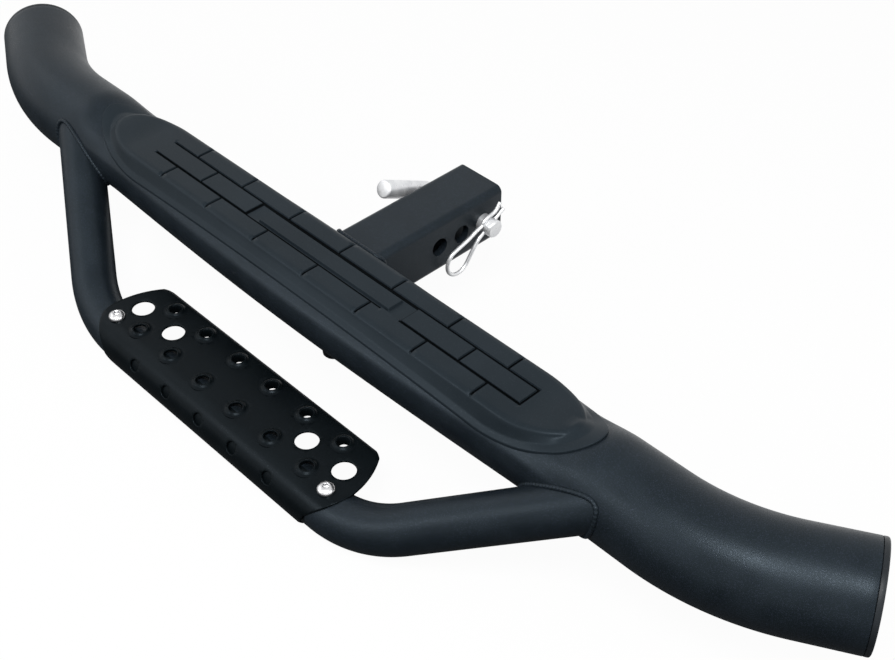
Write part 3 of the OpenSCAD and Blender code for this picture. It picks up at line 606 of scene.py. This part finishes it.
def leg_meets_bar(start, way, radius, bar_radius):
    """Saddle line where a leg of the hoop meets the bar: one point for each
    line along the leg, with the leg's outward direction there."""
    across = np.cross(way, [0, 0, 1.0])
    across /= np.linalg.norm(across)
    third = np.cross(way, across)
    turn = 2*np.pi*np.arange(96)/96
    outward = np.outer(np.cos(turn), across) + np.outer(np.sin(turn), third)
    points = start + radius*outward
    a = way[1]**2 + way[2]**2
    b = points[:, 1]*way[1] + points[:, 2]*way[2]
    c = points[:, 1]**2 + points[:, 2]**2 - bar_radius**2
    t = (-b - np.sqrt(np.maximum(b*b - a*c, 0)))/a
    return points + t[:, None]*way, outward


def make_hoop():
    half = [(x, HOOP_Y, HOOP_Z) for x in (8, 30, 60, 90, 115)]
    half += [hoop_way(math.radians(a))[0] for a in np.linspace(0, HOOP_BEND, 28)]
    start, way = hoop_way(math.radians(HOOP_BEND))
    half += [start + way*d for d in (12, 30, 50, 68)]
    path = [np.array([-p[0], p[1], p[2]]) for p in half[::-1]] + [np.array(p) for p in half]
    rings = sweep(path, HOOP_R, 96)
    ends = []
    for mirror, ring in ((-1, rings[0]), (1, rings[-1])):
        side = np.array([mirror, 1, 1])
        a = way[1]**2 + way[2]**2
        flat = ring*side
        b = flat[:, 1]*way[1] + flat[:, 2]*way[2]
        c = flat[:, 1]**2 + flat[:, 2]**2 - (TUBE_R - 0.4)**2
        t = (-b - np.sqrt(np.maximum(b*b - a*c, 0)))/a
        ends.append((flat + t[:, None]*way)*side)
    outer = np.concatenate([[ends[0]], rings, [ends[1]]])
    centres = np.concatenate([[ends[0].mean(0)], np.array(path), [ends[1].mean(0)]])
    inner = centres[:, None] + (outer - centres[:, None])*(HOOP_R - 2.5)/HOOP_R
    loop = np.concatenate([outer, inner[::-1]])
    obj = make_mesh("bent_hoop", placed(loop.reshape(-1, 3)),
                    ring_faces(len(loop), 96, closed=True), sharp=50)
    dress(obj, POWDER_COAT, "step", "powder_coat", "hoop_tube")
    obj.data.materials.append(TREAD_COAT_AND_SHADE)
    # Hoop faces under the plate take the plate's darker coat: painted shade beneath the plate.
    for face in obj.data.polygons:
        x, y, z = (c*1000 - o for c, o in zip(face.center, ORIGIN))
        around = math.degrees(math.atan2(z - HOOP_Z, y - HOOP_Y)) % 360
        if abs(x) < 126 and 80 < around < 240:
            face.material_index = 1


# Weld beads
def bead_tree():
    """A rippled bead along a line: its radius, its ripples' pitch and depth."""
    tree, given, out = new_group(
        "weld bead", "GeometryNodeTree",
        [("Line", "NodeSocketGeometry", None), ("Bead Radius", "NodeSocketFloat", 0.003),
         ("Ripple Pitch", "NodeSocketFloat", 0.003), ("Ripple Depth", "NodeSocketFloat", 0.0004),
         ("Finish", "NodeSocketMaterial", None)],
        [("Bead", "NodeSocketGeometry")])
    line = add_node(tree, "GeometryNodeMeshToCurve", {0: given.outputs["Line"]})
    even = add_node(tree, "GeometryNodeResampleCurve", {"Curve": line.outputs[0],
                                                        "Length": 0.0005}, mode="LENGTH")
    along = add_node(tree, "GeometryNodeSplineParameter")
    keep = add_node(tree, "GeometryNodeCaptureAttribute", {0: even.outputs[0]})
    keep.capture_items.new("FLOAT", "Along")
    tree.links.new(along.outputs["Length"], keep.inputs[1])
    hoop = add_node(tree, "GeometryNodeCurvePrimitiveCircle",
                    {"Resolution": 14, "Radius": given.outputs["Bead Radius"]})
    skin = add_node(tree, "GeometryNodeCurveToMesh",
                    {"Curve": keep.outputs[0], "Profile Curve": hoop.outputs[0],
                     "Fill Caps": True})
    phase = maths(tree, "DIVIDE", keep.outputs[1], given.outputs["Ripple Pitch"])
    wave = maths(tree, "SINE", maths(tree, "MULTIPLY", phase, math.pi), 0)
    wave = maths(tree, "ABSOLUTE", wave, 0)
    height = maths(tree, "MULTIPLY", wave, given.outputs["Ripple Depth"])
    wobble = add_node(tree, "ShaderNodeTexNoise", {"Scale": 260.0, "Detail": 1.0})
    uneven = maths(tree, "MULTIPLY", wobble.outputs[0], given.outputs["Ripple Depth"])
    normal = add_node(tree, "GeometryNodeInputNormal")
    push = add_node(tree, "ShaderNodeVectorMath",
                    {0: normal.outputs[0]}, operation="SCALE")
    tree.links.new(maths(tree, "ADD", height, uneven), push.inputs["Scale"])
    moved = add_node(tree, "GeometryNodeSetPosition", {"Geometry": skin.outputs[0],
                                                       "Offset": push.outputs[0]})
    real = add_node(tree, "GeometryNodeRealizeInstances", {0: moved.outputs[0]})
    final = add_node(tree, "GeometryNodeSetMaterial", {"Geometry": real.outputs[0],
                                                       "Material": given.outputs["Finish"]})
    tree.links.new(final.outputs[0], out.inputs[0])
    return tree


def tube_back(x, z):
    """How far back the pressed bar's rear face reaches at x and height z."""
    ys, zs = pressed_ring(x, TUBE_R, FLAT_Z)
    return float(np.interp(z, zs[6:60], ys[6:60]))


def make_welds():
    lines = []
    start, way = hoop_way(math.radians(HOOP_BEND))
    saddle, outward = leg_meets_bar(start, way, HOOP_R + 0.6, TUBE_R + 0.2)
    lines.append(saddle)
    lines.append(saddle*[-1, 1, 1])
    root, w, corner = [], 25.4, 6.0
    for sx, sz, first in ((1, 1, 0), (-1, 1, 90), (-1, -1, 180), (1, -1, 270)):
        for a in np.radians(np.linspace(first, first + 90, 7)):
            root.append((sx*(w - corner) + corner*math.cos(a),
                         sz*(w - corner) + corner*math.sin(a)))
    root = np.array(root)
    dense = []
    for p, q in zip(root, np.roll(root, -1, axis=0)):
        n = max(1, int(np.linalg.norm(q - p)/2))
        dense += [p + (q - p)*i/n for i in range(n)]
    ring = []
    for x, z in dense:
        zz = z - SHANK_DROP
        out = np.array([x, z])/max(abs(x), abs(z))*0.8
        y = tube_back(x, zz) + 0.9
        if zz > 10:
            y = max(y, 39.9)
        ring.append((x + out[0], y, zz + out[1]))
    lines.append(np.array(ring))
    points, edges = [], []
    for line in lines:
        n, first = len(line), len(points)
        points += line.tolist()
        edges += [(first + i, first + (i + 1) % n) for i in range(n)]
    mesh = bpy.data.meshes.new("weld_beads")
    mesh.from_pydata(placed(points).tolist(), edges, [])
    obj = bpy.data.objects.new("weld_beads", mesh)
    scene.collection.objects.link(obj)
    grown(obj, bead_tree(), bead_radius=0.0015, ripple_pitch=0.003, ripple_depth=0.0003,
          finish=POWDER_COAT)
    smooth_shaded(obj.data, 70)
    dress(obj, POWDER_COAT, "step", "powder_coat", "shank_weld", "hoop_weld_left",
          "hoop_weld_right")


# Tread plate
WRAP_R = HOOP_R + 0.05 + TREAD_T
TREAD_Z = HOOP_Z + WRAP_R
LIP, REAR_R, WRAP = 6.0, 5.0, 155.0
S_BEND = LIP + REAR_R*math.pi/2
S_FLAT = S_BEND + (TREAD_REAR - REAR_R - HOOP_Y)
S_END = S_FLAT + WRAP_R*math.radians(WRAP)


def plate_point(s):
    """Outer face of the plate at distance s along it from the lip: y and z."""
    s = np.asarray(s, float)
    back, drop = TREAD_REAR - REAR_R, TREAD_Z - REAR_R
    bend = np.clip((s - LIP)/REAR_R, 0, math.pi/2)
    wrap = math.pi/2 + np.clip((s - S_FLAT)/WRAP_R, 0, None)
    y = np.where(s < LIP, TREAD_REAR, np.where(
        s < S_BEND, back + REAR_R*np.cos(bend), np.where(
            s < S_FLAT, back - (s - S_BEND), HOOP_Y + WRAP_R*np.cos(wrap))))
    z = np.where(s < LIP, drop - LIP + s, np.where(
        s < S_BEND, drop + REAR_R*np.sin(bend), np.where(
            s < S_FLAT, TREAD_Z, HOOP_Z + WRAP_R*np.sin(wrap))))
    return y, z


def plate_half(s):
    """Half width of the plate at distance s."""
    y, _ = plate_point(s)
    side_y = HOOP_Y + 8
    over = np.clip(y - side_y, 0, SIDE_R)
    front = np.clip(side_y - y, 0, CORNER_R)
    half = np.where(y >= side_y, TREAD_HALF - SIDE_R + np.sqrt(SIDE_R**2 - over**2),
                    TREAD_HALF - CORNER_R + np.sqrt(CORNER_R**2 - front**2))
    turn = (s - S_FLAT)/WRAP_R - math.pi/2
    floor = TREAD_HALF - CORNER_R
    lowest = floor + math.sqrt(CORNER_R**2 - (WRAP_R + 8)**2)
    under = floor + (lowest - floor)*(1 - eased(turn/0.5))
    half = half - 12*np.clip((S_BEND - s)/S_BEND, 0, 1)
    return np.where(turn > 0, under, half)


def s_at(y):
    return S_BEND + (TREAD_REAR - REAR_R) - y


def plate_holes():
    """Centre along the bar, distance s and radius of each hole in the sheet."""
    holes = []
    for k in (-2.5, -1.5, -0.5, 0.5, 1.5, 2.5):
        holes.append((k*PITCH, s_at(-71.5), 8.6))
        holes.append((k*PITCH, s_at(-107.1), 8.6))
    for k in (-3, -2, 2, 3):
        holes.append((k*PITCH, s_at(-89.3), 9.5))
    for k in (-2, -1, 0, 1, 2):
        holes.append((k*PITCH, S_FLAT + WRAP_R*math.radians(90 - 27.5), 5.3))
    for side in (-1, 1):
        holes.append((side*133.8, s_at(HOOP_Y), 4.3))
    return holes


def make_tread():
    rows = np.concatenate([np.linspace(0, LIP, 4), np.linspace(LIP, S_BEND, 9)[1:],
                           np.linspace(S_BEND, S_FLAT, 13)[1:],
                           np.linspace(S_FLAT, S_END, 40)[1:]])
    half = plate_half(rows)
    holes = plate_holes()
    rim = [(w, s) for w, s in zip(half, rows)]
    flat_end = [(x, S_END) for x in np.arange(half[-1] - 4, -half[-1] + 2, -4.0)]
    lip_end = [(x, 0.0) for x in np.arange(-half[0] + 4, half[0] - 2, 4.0)]
    outline = rim + flat_end + [(-w, s) for w, s in rim[::-1]] + lip_end
    points, edges = list(outline), []
    n = len(points)
    edges += [(i, (i + 1) % n) for i in range(n)]
    for x, s, r in holes:
        first, sides = len(points), 48
        points += [(x + r*math.cos(2*math.pi*i/sides), s + r*math.sin(2*math.pi*i/sides))
                   for i in range(sides)]
        edges += [(first + i, first + (i + 1) % sides) for i in range(sides)]

    def kept(x, s, margin):
        if abs(x) > float(np.interp(s, rows, half)) - margin:
            return False
        return all(math.hypot(x - a, s - b) > r + margin for a, b, r in holes)

    for s in rows[1:-1]:
        points += [(x, s) for x in np.arange(-148, 149, 4.0) if kept(x, s, 0.9)]
    found = geometry.delaunay_2d_cdt([Vector(p) for p in points], edges, [], 0, 1e-5)
    flat = np.array([(v.x, v.y) for v in found[0]])
    faces = [f for f in found[2] if kept(*flat[list(f)].mean(0), 0.0)]
    y, z = plate_point(flat[:, 1])
    obj = make_mesh("tread_sheet", placed(np.stack([flat[:, 0], y, z], -1)), faces, 30, 1e-7)
    level = (TREAD_Z + ORIGIN[2])/1000
    if sum(p.normal.z for p in obj.data.polygons if abs(p.center.z - level) < 1e-4) < 0:
        obj.data.flip_normals()
    wall = obj.modifiers.new("wall", "SOLIDIFY")
    wall.thickness, wall.offset, wall.use_even_offset = TREAD_T/1000, -1, True
    edge = obj.modifiers.new("edge", "BEVEL")
    edge.width, edge.segments, edge.limit_method = 0.00035, 2, "ANGLE"
    edge.angle_limit, edge.harden_normals = math.radians(50), True
    baked(obj)
    smooth_shaded(obj.data, 40)
    dress(obj, TREAD_COAT_AND_SHADE, "step", "powder_coat", "tread_plate")


def row_tree():
    """Copies of one piece in rows along the bar, at each row's middle."""
    tree, given, out = new_group(
        "rows of copies", "GeometryNodeTree",
        [("Row Middles", "NodeSocketGeometry", None), ("Copy", "NodeSocketObject", None),
         ("Count", "NodeSocketInt", 6), ("Pitch", "NodeSocketFloat", 0.0427),
         ("Finish", "NodeSocketMaterial", None)],
        [("Copies", "NodeSocketGeometry")])
    less = maths(tree, "SUBTRACT", given.outputs["Count"], 1.0)
    back = maths(tree, "MULTIPLY", maths(tree, "MULTIPLY", less, given.outputs["Pitch"]), -0.5)
    start = add_node(tree, "ShaderNodeCombineXYZ", {"X": back})
    step = add_node(tree, "ShaderNodeCombineXYZ", {"X": given.outputs["Pitch"]})
    line = add_node(tree, "GeometryNodeMeshLine",
                    {"Count": given.outputs["Count"], "Start Location": start.outputs[0],
                     "Offset": step.outputs[0]}, mode="OFFSET")
    rows = add_node(tree, "GeometryNodeInstanceOnPoints",
                    {"Points": given.outputs["Row Middles"], "Instance": line.outputs[0]})
    spots = add_node(tree, "GeometryNodeRealizeInstances", {0: rows.outputs[0]})
    piece = add_node(tree, "GeometryNodeObjectInfo", {"Object": given.outputs["Copy"]})
    copies = add_node(tree, "GeometryNodeInstanceOnPoints",
                      {"Points": spots.outputs[0], "Instance": piece.outputs["Geometry"]})
    real = add_node(tree, "GeometryNodeRealizeInstances", {0: copies.outputs[0]})
    final = add_node(tree, "GeometryNodeSetMaterial", {"Geometry": real.outputs[0],
                                                       "Material": given.outputs["Finish"]})
    tree.links.new(final.outputs[0], out.inputs[0])
    return tree


ROWS = row_tree()


def in_rows(name, copy, middles, count, pitch, finish):
    mesh = bpy.data.meshes.new(name)
    mesh.from_pydata(placed(middles).tolist(), [], [])
    obj = bpy.data.objects.new(name, mesh)
    scene.collection.objects.link(obj)
    grown(obj, ROWS, copy=copy, count=count, pitch=pitch/1000, finish=finish)
    bpy.data.objects.remove(copy)
    return obj


def make_collars():
    crown = [(5.8, 1.8), (6.3, 1.75), (6.8, 1.45), (7.4, 0.95), (8.0, 0.5), (8.7, 0.18),
             (9.5, 0.05), (10.5, 0.012), (10.5, -0.3), (8.3, -0.3)]
    front = [(8.3, -2.0), (6.8, -1.7), (5.9, -1.0), (5.5, 0.0), (5.4, 1.2), (5.5, 1.6)]
    # The rear row hangs free of the hoop; its throats reach lower, a dark wall put in for the
    # shade under the plate seen through these holes
    rear = [(8.3, -2.0), (6.4, -2.4), (5.4, -4.4), (5.0, -6.2), (4.3, -6.2), (4.2, -5.8),
            (4.3, -2.0), (4.7, 0.0), (5.2, 1.2), (5.45, 1.6)]
    for name, throat, y in (("grip_collars_front", front, -107.1),
                            ("grip_collars_rear", rear, -71.5)):
        rings = lathe(throat + crown, 48)/1000
        copy = make_mesh("collar", rings.reshape(-1, 3),
                         ring_faces(len(rings), 48, closed=True), 60)
        obj = in_rows(name, copy, [(0, y, TREAD_Z)], 6, PITCH, TREAD_COAT_AND_SHADE)
        dress(obj, TREAD_COAT_AND_SHADE, "step", "powder_coat")


def make_screws():
    sides = 96
    profile = [(3.95, -16), (3.95, 0), (6.9, 0), (7.0, 0.12), (7.0, 1.2), (6.85, 1.75),
               (6.5, 2.4), (5.95, 3.0), (5.2, 3.6), (4.4, 4.05), (3.5, 4.38), (3.15, 4.4)]
    rings = list(lathe(profile, sides))
    turn = 2*np.pi*np.arange(sides)/sides
    across = 2.48/np.cos((turn % (math.pi/3)) - math.pi/6)
    for grow, z in ((1.07, 4.4), (1.0, 4.22), (1.0, 1.9), (0.82, 1.8), (0.05, 1.2)):
        rings.append(np.stack([across*grow*np.cos(turn), across*grow*np.sin(turn),
                               np.full(sides, z)], -1))
    points, faces = capped(rings)
    copy = make_mesh("button", points/1000, faces, 35)
    obj = in_rows("button_screws", copy, [(0, HOOP_Y, TREAD_Z + 0.05)], 2, 2*133.8, STAINLESS)
    dress(obj, STAINLESS, "step", "stainless", "tread_screws")


# Pin and clip
PIN_Y, PIN_R, WIRE_R, CROSS_X = 158.4, 7.95, 1.7, 33.0


def make_pin():
    rise = math.radians(27)
    along = np.array([0, -math.cos(rise), math.sin(rise)])
    middle = np.array([0, PIN_Y, -SHANK_DROP])
    path = [(41, 0), (30, 0), (10, 0), (-10, 0), (-20, 0)]
    path += [(-27 - 12*math.sin(a), 12*(1 - math.cos(a))) for a in np.linspace(0, math.pi/2, 16)]
    path += [(-39, 24), (-39, 40), (-39, 62)]
    points = [middle + np.array([x, 0, 0]) + along*h for x, h in path]
    flat, faces = capped(rounded_ends(points, PIN_R, 1.8, 64))
    obj = make_mesh("bent_pin", placed(flat), faces, 50)
    dress(obj, ZINC, "pin", "zinc_steel", "hitch_pin")


def spline(points, cuts):
    """Points on a smooth curve through the given ones."""
    p = np.asarray(points, float)
    p = np.concatenate([[2*p[0] - p[1]], p, [2*p[-1] - p[-2]]])
    out = []
    for i in range(1, len(p) - 2):
        for t in np.arange(cuts)/cuts:
            a, b, c, d = p[i - 1:i + 3]
            out.append(0.5*(2*b + (c - a)*t + (2*a - 5*b + 4*c - d)*t*t
                            + (3*b - a - 3*c + d)*t**3))
    return np.array(out + [p[-2]])


def make_clip():
    hug = PIN_R + WIRE_R + 0.25
    route = [(20, 0), (10, 0), (0, 0), (-10, 0), (-15, -0.4), (-20, -2), (-28, -5.4)]
    route += [(-41 + 12.5*math.cos(a), 2.6 + 12.5*math.sin(a))
              for a in np.radians(np.arange(-70, -291, -20))]
    route += [(-28, 12.2), (-20, 10.4), (-13, 9.8)]
    route += [(hug*math.cos(a), hug*math.sin(a)) for a in np.radians(np.arange(125, 60, -16))]
    route += [(9.5, 7), (14, 7), (20, 9.5)]
    c, s = math.cos(math.radians(30)), math.sin(math.radians(30))
    points = [(CROSS_X, PIN_Y + u*c - v*s, -SHANK_DROP + u*s + v*c)
              for u, v in spline(route, 5)]
    flat, faces = capped(rounded_ends(points, WIRE_R, 0.9, 20))
    obj = make_mesh("spring_clip", placed(flat), faces, 60)
    dress(obj, ZINC, "pin", "zinc_steel", "pin_clip")


# Hand knob
def make_knob():
    sides = 240
    turn = 2*np.pi*np.arange(sides)/sides
    hollow = (0.5 + 0.5*np.cos(10*turn))**1.3
    # Radius, height, share of the hollows' depth
    profile = [(9.4, 3, 0), (9.4, 13.6, 0), (9.8, 14, 0), (13, 14, 0), (13.8, 13.6, 0),
               (14.6, 12.4, 0), (16, 11.7, 0), (22, 11.6, 0.1), (26.5, 12.1, 0.4),
               (29.5, 12.2, 0.75), (31.6, 11.5, 0.95), (32.7, 10.2, 1), (33, 8.6, 1),
               (33, 5.2, 1), (32.7, 3.6, 1), (31.4, 1.9, 0.95), (29, 0.8, 0.8),
               (25.5, 0.3, 0.4), (20, 0.25, 0.1), (15, 0.6, 0), (10, 0.8, 0), (0.05, 0.8, 0)]
    rings = [lathe([(9.4, 3)], sides)[0]*[0.01, 0.01, 1]]
    for radius, z, share in profile:
        r = radius - 3.3*share*hollow
        rings.append(np.stack([r*np.cos(turn), r*np.sin(turn), np.full(sides, z)], -1))
    flat, faces = capped(np.array(rings) + [0, 32, -84.5])
    obj = make_mesh("lobed_knob", placed(flat), faces, 60)
    dress(obj, KNOB_PLASTIC, "knob", "knob_plastic", "knob_grip")


# Stage
def make_floor():
    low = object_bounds()[0][2]
    mesh = bpy.data.meshes.new("floor")
    reach = 25.0
    corners = [(-1, -1), (1, -1), (1, 1), (-1, 1)]
    mesh.from_pydata([(x*reach, y*reach, low) for x, y in corners], [], [(0, 1, 2, 3)])
    floor = bpy.data.objects.new("floor", mesh)
    scene.collection.objects.link(floor)
    material = bpy.data.materials.new("pale floor")
    material.use_nodes = True
    tree = material.node_tree
    tree.nodes.clear()
    glow = add_node(tree, "ShaderNodeEmission", {"Color": (1, 1, 1, 1), "Strength": 1.0})
    place = add_node(tree, "ShaderNodeTexCoord").outputs["Object"]
    spot = add_node(tree, "ShaderNodeSeparateXYZ", {0: place})
    path = add_node(tree, "ShaderNodeLightPath")
    direct = path.outputs["Is Camera Ray"]
    # Darker to bounced light, so that the undersides stay dark
    shade = add_node(tree, "ShaderNodeMix", {0: direct, 6: (0.08, 0.083, 0.086, 1),
                                             7: (0.9, 0.9, 0.9, 1)}, data_type="RGBA")
    plain = add_node(tree, "ShaderNodeBsdfDiffuse", {"Color": shade.outputs[2]})
    # Reflections see the white glow only far from the object or behind the bar; nearer they see
    # the dark floor: a painted shadow round the object, seen in reflections.
    away = add_node(tree, "ShaderNodeVectorMath", {0: place}, operation="LENGTH")
    far = add_node(tree, "ShaderNodeMapRange", {0: away.outputs["Value"], 1: 0.7, 2: 2.0})
    behind = add_node(tree, "ShaderNodeMapRange", {0: spot.outputs[1], 1: -0.03, 2: 0.07})
    bright = maths(tree, "MAXIMUM", far.outputs[0], behind.outputs[0])
    mirrored = maths(tree, "MAXIMUM", path.outputs["Is Glossy Ray"],
                     path.outputs["Is Transmission Ray"])
    share = maths(tree, "MAXIMUM", maths(tree, "MULTIPLY", direct, 0.96),
                  maths(tree, "MULTIPLY", mirrored, bright))
    mix = add_node(tree, "ShaderNodeMixShader", {0: share, 1: plain.outputs[0],
                                                 2: glow.outputs[0]})
    clear = add_node(tree, "ShaderNodeBsdfTransparent")
    below = add_node(tree, "ShaderNodeNewGeometry").outputs["Backfacing"]
    mix = add_node(tree, "ShaderNodeMixShader", {0: below, 1: mix.outputs[0],
                                                 2: clear.outputs[0]})
    out = add_node(tree, "ShaderNodeOutputMaterial")
    tree.links.new(mix.outputs[0], out.inputs[0])
    floor.data.materials.append(material)


def make_light():
    world = bpy.data.worlds.new("studio")
    scene.world = world
    world.use_nodes = True
    tree = world.node_tree
    tree.nodes.clear()
    path = add_node(tree, "ShaderNodeLightPath")
    seen = maths(tree, "MAXIMUM", path.outputs["Is Camera Ray"], path.outputs["Is Glossy Ray"])
    seen = maths(tree, "MAXIMUM", seen, path.outputs["Is Transmission Ray"])
    level = add_node(tree, "ShaderNodeMapRange", {0: seen, 3: 0.16, 4: 1.0})
    sky = add_node(tree, "ShaderNodeBackground", {"Color": (1, 1, 1, 1),
                                                  "Strength": level.outputs[0]})
    out = add_node(tree, "ShaderNodeOutputWorld")
    tree.links.new(sky.outputs[0], out.inputs[0])
    softbox("key", (0.70, -0.90, 1.70), (0, -0.1, 0), 0.9, 0.6, 30)
    softbox("front", (-0.75, -1.6, 1.0), (0, -0.1, 0), 1.0, 0.5, 10)
    softbox("left", (-1.5, -0.6, 1.2), (0, -0.1, 0), 1.0, 0.8, 3)
    softbox("right", (1.6, 0.3, 0.9), (0, -0.1, 0), 0.8, 0.8, 6)
    scene.view_settings.view_transform = "Standard"


look_from_the_photograph()
make_light()
make_main_tube()
make_end_caps()
make_pad()
make_hoop()
make_welds()
make_tread()
make_collars()
make_screws()
make_pin()
make_clip()
make_knob()

CAD_FINISHES = {"shank": POWDER_COAT, "pad_clips": CLIP_NYLON, "tread_inserts": ZINC,
                "knob_insert": ZINC, "knob_washer": STAINLESS, "knob_stud": ZINC,
                "knob_weld_nut": POWDER_COAT}
for name, finish in CAD_FINISHES.items():
    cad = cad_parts[name]
    for held in cad.material_slots:
        held.material = finish

make_floor()
